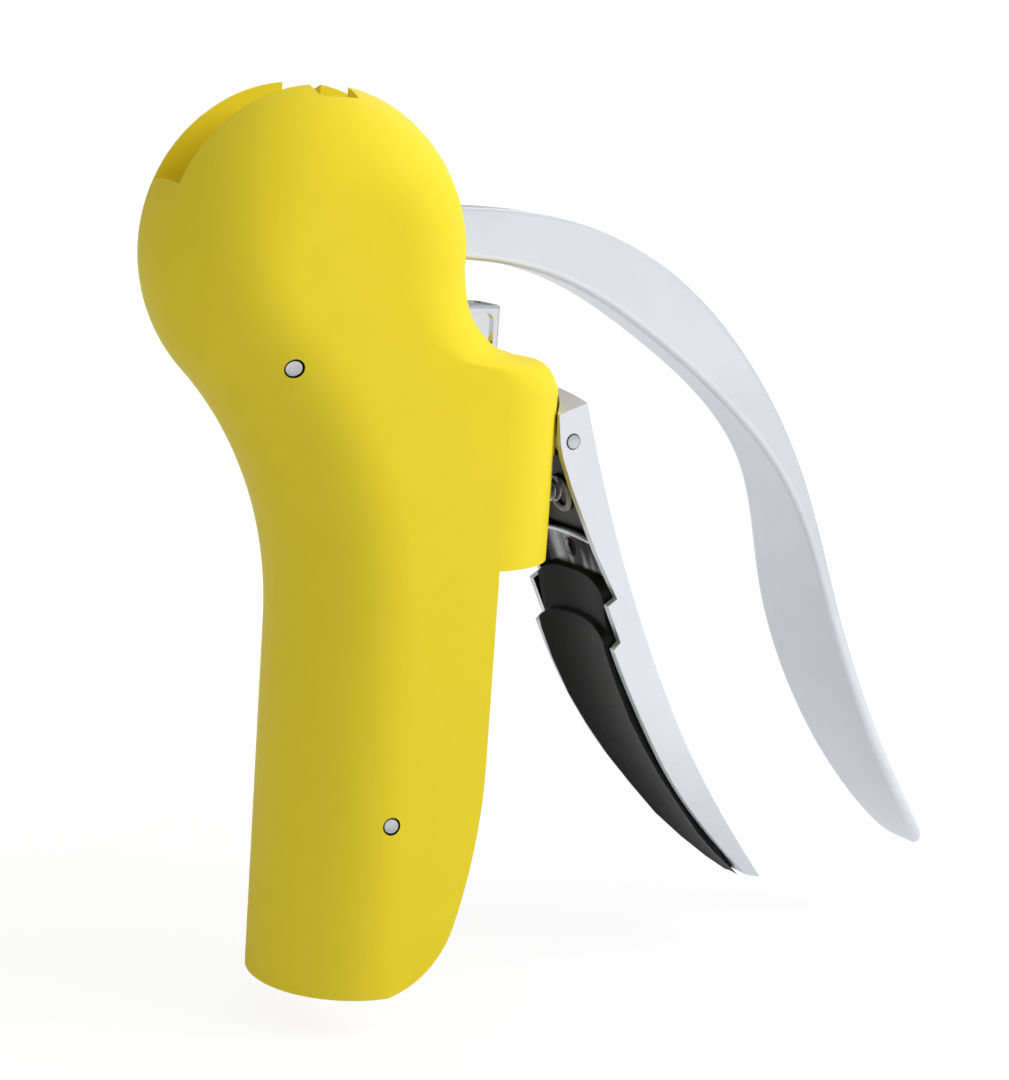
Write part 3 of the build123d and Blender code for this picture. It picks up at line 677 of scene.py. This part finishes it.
def padCarrier(s):
    bm = bmesh.new()
    bmesh.ops.create_grid(bm, x_segments=s["rows"], y_segments=s["across"], size=0.5)
    inner = set(bm.verts)
    bmesh.ops.extrude_face_region(bm, geom=bm.faces[:], use_keep_orig=True)
    for v in bm.verts:
        along, across = v.co.x + 0.5, v.co.y * 2
        lift = s["lift"] if v in inner else s["lift"] + s["thick"]
        spot = onWeb(s["top"] + (s["low"] - s["top"]) * along, lift)[0]
        v.co = (spot.x, across * s["half"], spot.z)
    bmesh.ops.recalc_face_normals(bm, faces=bm.faces)
    roundEdges(bm, s["corner"], s["round"], s["steps"])
    piece = addPiece(bm, "padCarrier", "steel", "grip")
    # the carrier's steel, with its painted reflections
    piece.data.materials[0] = ownFinishes["pad_carrier"]
    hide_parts("pad_carrier")


carrierEdgeSet = {
    "down": 21.0 * mm,
    "lift": 2.5 * mm,
    "half": 12.6 * mm,
    "wire": 0.72 * mm,
    "sides": 16,
    "bow": 0.9 * mm,
    "cuts": 16,
    "corner": 60,
    "round": 0.36 * mm,
    "steps": 3,
}


def carrierEdge(s):
    spot = onWeb(s["down"], s["lift"])[0]
    bm = bmesh.new()
    lying = Matrix.Translation(spot) @ Matrix.Rotation(pi / 2, 4, "X")
    bmesh.ops.create_cone(bm, cap_ends=True, segments=s["sides"], radius1=s["wire"], radius2=s["wire"],
                          depth=2 * s["half"], matrix=lying)
    lengthwise = [e for e in bm.edges if abs(e.verts[0].co.y - e.verts[1].co.y) > s["half"]]
    bmesh.ops.subdivide_edges(bm, edges=lengthwise, cuts=s["cuts"], use_grid_fill=True)
    for v in bm.verts:
        v.co.z -= s["bow"] * (v.co.y / s["half"]) ** 2
    roundEdges(bm, s["corner"], s["round"], s["steps"])
    addPiece(bm, "carrierEdge", "steel", "grip")


# ring that the spring sits in

seatSet = {
    "down": 13.1 * mm,
    "lift": 2.05 * mm,
    "middle": 3.3 * mm,
    "wire": 0.68 * mm,
    "flat": 0.7,
    "sides": 16,
    "steps": 48,
    "sharp": 60,
}


def springSeat(s):
    bm = bmesh.new()
    upright = Matrix.Translation((s["middle"], 0, 0)) @ Matrix.Rotation(pi / 2, 4, "X")
    bmesh.ops.create_circle(bm, cap_ends=False, radius=s["wire"], segments=s["sides"], matrix=upright)
    bmesh.ops.scale(bm, vec=(1, 1, s["flat"]), verts=bm.verts)
    spinRound(bm, bm.verts[:] + bm.edges[:], (0, 0, 0), (0, 0, 1), s["steps"])
    bmesh.ops.recalc_face_normals(bm, faces=bm.faces)
    bmesh.ops.transform(bm, matrix=standing(*onWeb(s["down"], s["lift"])), verts=bm.verts)
    piece = addPiece(bm, "springSeat", "nylon", "grip", s["sharp"])
    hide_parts("spring_seat")


# oval domed rivet of the pad

rivetSet = {
    "down": 24.2 * mm,
    "lift": 2.7 * mm,
    "profile": ((0, 0.75), (0.7, 0.68), (1.3, 0.4), (1.62, 0.05), (1.75, -0.5)),
    "tall": 1.35,
    "steps": 36,
    "sharp": 60,
}


def padRivet(s):
    bm = bmesh.new()
    line = lineThrough(bm, [(r * mm, 0, up * mm) for r, up in s["profile"]])
    spinRound(bm, line, (0, 0, 0), (0, 0, 1), s["steps"])
    closeHoles(bm)
    bmesh.ops.recalc_face_normals(bm, faces=bm.faces)
    bmesh.ops.scale(bm, vec=(1, s["tall"], 1), verts=bm.verts)
    bmesh.ops.transform(bm, matrix=standing(*onWeb(s["down"], s["lift"])), verts=bm.verts)
    piece = addPiece(bm, "padRivet", "steel", "grip", s["sharp"])
    # the rivet takes the carrier's steel, with its painted reflections
    piece.data.materials[0] = ownFinishes["pad_carrier"]
    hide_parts("pad_rivet")


gripPad(padSet)
padCarrier(carrierSet)
carrierEdge(carrierEdgeSet)
springSeat(seatSet)
padRivet(rivetSet)
print("pad, seat and rivet set in the grip")


# liner of the half pipe, its edges rounded

linerSet = {
    "merge": 0.002 * mm,
    "flat": 0.4,
    "corner": 35,
    "round": 0.25 * mm,
    "steps": 2,
}


def neckLiner(s):
    bm = mergedCopy("neck_liner", s["merge"])
    bmesh.ops.dissolve_limit(bm, angle_limit=radians(s["flat"]), verts=bm.verts, edges=bm.edges)
    roundEdges(bm, s["corner"], s["round"], s["steps"])
    bmesh.ops.recalc_face_normals(bm, faces=bm.faces)
    piece = addPiece(bm, "neckLiner", "black_rubber", "body")
    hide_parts("neck_liner")


neckLiner(linerSet)
print("liner made")


# spring between the body and the grip, its end turns close

springSet = {
    "meanRadius": 2.35 * mm,
    "wire": 0.38 * mm,
    "sides": 12,
    "endTurns": 0.8,
    "endPitch": 0.8 * mm,
    "turns": 3.2,
    "reach": 1.5 * mm,      # on to the seat, which leans
    "stepsPerTurn": 30,
    "keep": 0.5,
    "sharp": 60,
}


def gripSpring(s):
    low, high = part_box("grip_spring")
    height = (low.z + high.z) / 2
    startX = low.x + s["wire"]
    endX = high.x - s["wire"] + s["reach"]
    endRise = s["endTurns"] * s["endPitch"]
    rise = endX - startX - 2 * endRise
    bm = bmesh.new()
    at = Matrix.Translation((startX, s["meanRadius"], height))
    bmesh.ops.create_circle(bm, cap_ends=False, radius=s["wire"], segments=s["sides"], matrix=at)
    ring = bm.edges[:]
    for turns, length in ((s["endTurns"], endRise), (s["turns"], rise), (s["endTurns"], endRise)):
        steps = round(turns * s["stepsPerTurn"])
        geom = ring + list({v for e in ring for v in e.verts})
        done = bmesh.ops.spin(bm, geom=geom, cent=(startX, 0, height), axis=(1, 0, 0),
                              dvec=(length / steps, 0, 0), angle=2 * pi * turns, steps=steps,
                              use_duplicate=False)
        ring = [g for g in done["geom_last"] if isinstance(g, bmesh.types.BMEdge)]
    bmesh.ops.remove_doubles(bm, verts=bm.verts, dist=weld)
    closeHoles(bm)
    bmesh.ops.recalc_face_normals(bm, faces=bm.faces)
    piece = addPiece(bm, "gripSpring", "steel", "body", s["sharp"])
    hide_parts("grip_spring")
    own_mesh(piece)


gripSpring(springSet)
print("spring wound")


# pin heads: flush with the body's slope, or a little proud of the grip

pinSet = {
    "inset": 0.01 * mm,
    "chamfer": 0.1 * mm,
    "dome": 0.05 * mm,
    "domeBend": (0.5, 0.8),     # half way out the dome still has this share of its height
    "proud": 0.3 * mm,
    "feel": 2.3 * mm,           # where the body's slope is felt beside a pin
    "feelFrom": 100 * mm,
    "sides": 40,
    "sharp": 35,
}


def bodySlope(shell, x, z, way, s):
    step = s["feel"]
    right, left, up, down = (
        nodes[shell].ray_cast(Vector((x + dx, way * s["feelFrom"], z + dz)), Vector((0, -way, 0)))[1].y
        for dx, dz in ((step, 0), (-step, 0), (0, step), (0, -step)))
    return (right + left + up + down) / 4, (right - left) / (2 * step), (up - down) / (2 * step)


def pinHead(name, node, way, s, shell=None):
    low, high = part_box(node)
    radius = (high.x - low.x) / 2 - s["inset"]
    x, z = (low.x + high.x) / 2, (low.z + high.z) / 2
    foot = high.y if way > 0 else low.y
    top, slopeX, slopeZ = foot + way * s["proud"], 0, 0
    if shell:
        top, slopeX, slopeZ = bodySlope(shell, x, z, way, s)
    bendAt, bendUp = s["domeBend"]
    profile = [(radius, foot), (radius, top - way * s["chamfer"]), (radius - s["chamfer"], top),
               (radius * bendAt, top + way * s["dome"] * bendUp), (0, top + way * s["dome"])]
    bm = bmesh.new()
    line = lineThrough(bm, [(x + r, y, z) for r, y in profile])
    spinRound(bm, line, (x, top, z), (0, 1, 0), s["sides"])
    bmesh.ops.recalc_face_normals(bm, faces=bm.faces)
    lean = Matrix(((1, 0, 0, 0), (slopeX, 1, slopeZ, 0), (0, 0, 1, 0), (0, 0, 0, 1)))
    bmesh.ops.transform(bm, matrix=lean, space=Matrix.Translation((-x, 0, -z)), verts=bm.verts)
    addPiece(bm, name, "steel", "body", s["sharp"])


for way, side in ((-1, "near"), (1, "far")):
    for node in ("upper_body_pin", "lower_body_pin"):
        pinHead(f"{node}_{side}Head", node, way, pinSet, f"{side}_shell")
    pinHead(f"grip_pin_{side}Head", "grip_pin", way, pinSet)
print("pin heads made")


# pale floor, with the object's shadow

floorSet = {
    "half": 3.0,
    "below": 8 * mm,                # the closed grip's toe reaches below the foot
    "colour": (0.72, 0.72, 0.72),
    "rough": 0.8,
    "glow": 1.1,                    # what the camera sees of the floor, beside its shadow
    "glowShare": (0.8, 1.0),        # near the object and far away
    "glowFade": (0.12, 0.5),
    "mirrorShare": (0.08, 0.9),     # the same for metal
    "mirrorFade": (0.08, 0.32),
}


def layFloor(s):
    bm = bmesh.new()
    bmesh.ops.create_grid(bm, x_segments=1, y_segments=1, size=s["half"])
    bmesh.ops.translate(bm, verts=bm.verts, vec=(0, 0, cadBox[0].z - s["below"]))
    mesh = bpy.data.meshes.new("floor")
    bm.to_mesh(mesh)
    bm.free()
    floor = bpy.data.objects.new("floor", mesh)
    bpy.context.scene.collection.objects.link(floor)
    material, tree, shader = finish("paleFloor", s["colour"])
    shader.inputs["Roughness"].default_value = s["rough"]
    glow = tree.nodes.new("ShaderNodeEmission")
    glow.inputs["Strength"].default_value = s["glow"]
    x, y, z = axes(tree)
    away = farFrom(tree, x, y, middle.x, middle.y)
    glowFade = spread(tree, away, *s["glowShare"], *s["glowFade"])
    mirrorFade = spread(tree, away, *s["mirrorShare"], *s["mirrorFade"])
    shown = sums(tree, "MULTIPLY", seenDirectly(tree, "Is Camera Ray", "Is Transmission Ray"), glowFade)
    mirrored = sums(tree, "MULTIPLY", seenDirectly(tree, "Is Glossy Ray"), mirrorFade)
    mix = tree.nodes.new("ShaderNodeMixShader")
    tree.links.new(sums(tree, "MAXIMUM", shown, mirrored), mix.inputs["Fac"])
    tree.links.new(shader.outputs[0], mix.inputs[1])
    tree.links.new(glow.outputs[0], mix.inputs[2])
    tree.links.new(mix.outputs[0], tree.nodes["Material Output"].inputs["Surface"])
    mesh.materials.append(material)


layFloor(floorSet)
print("floor laid")
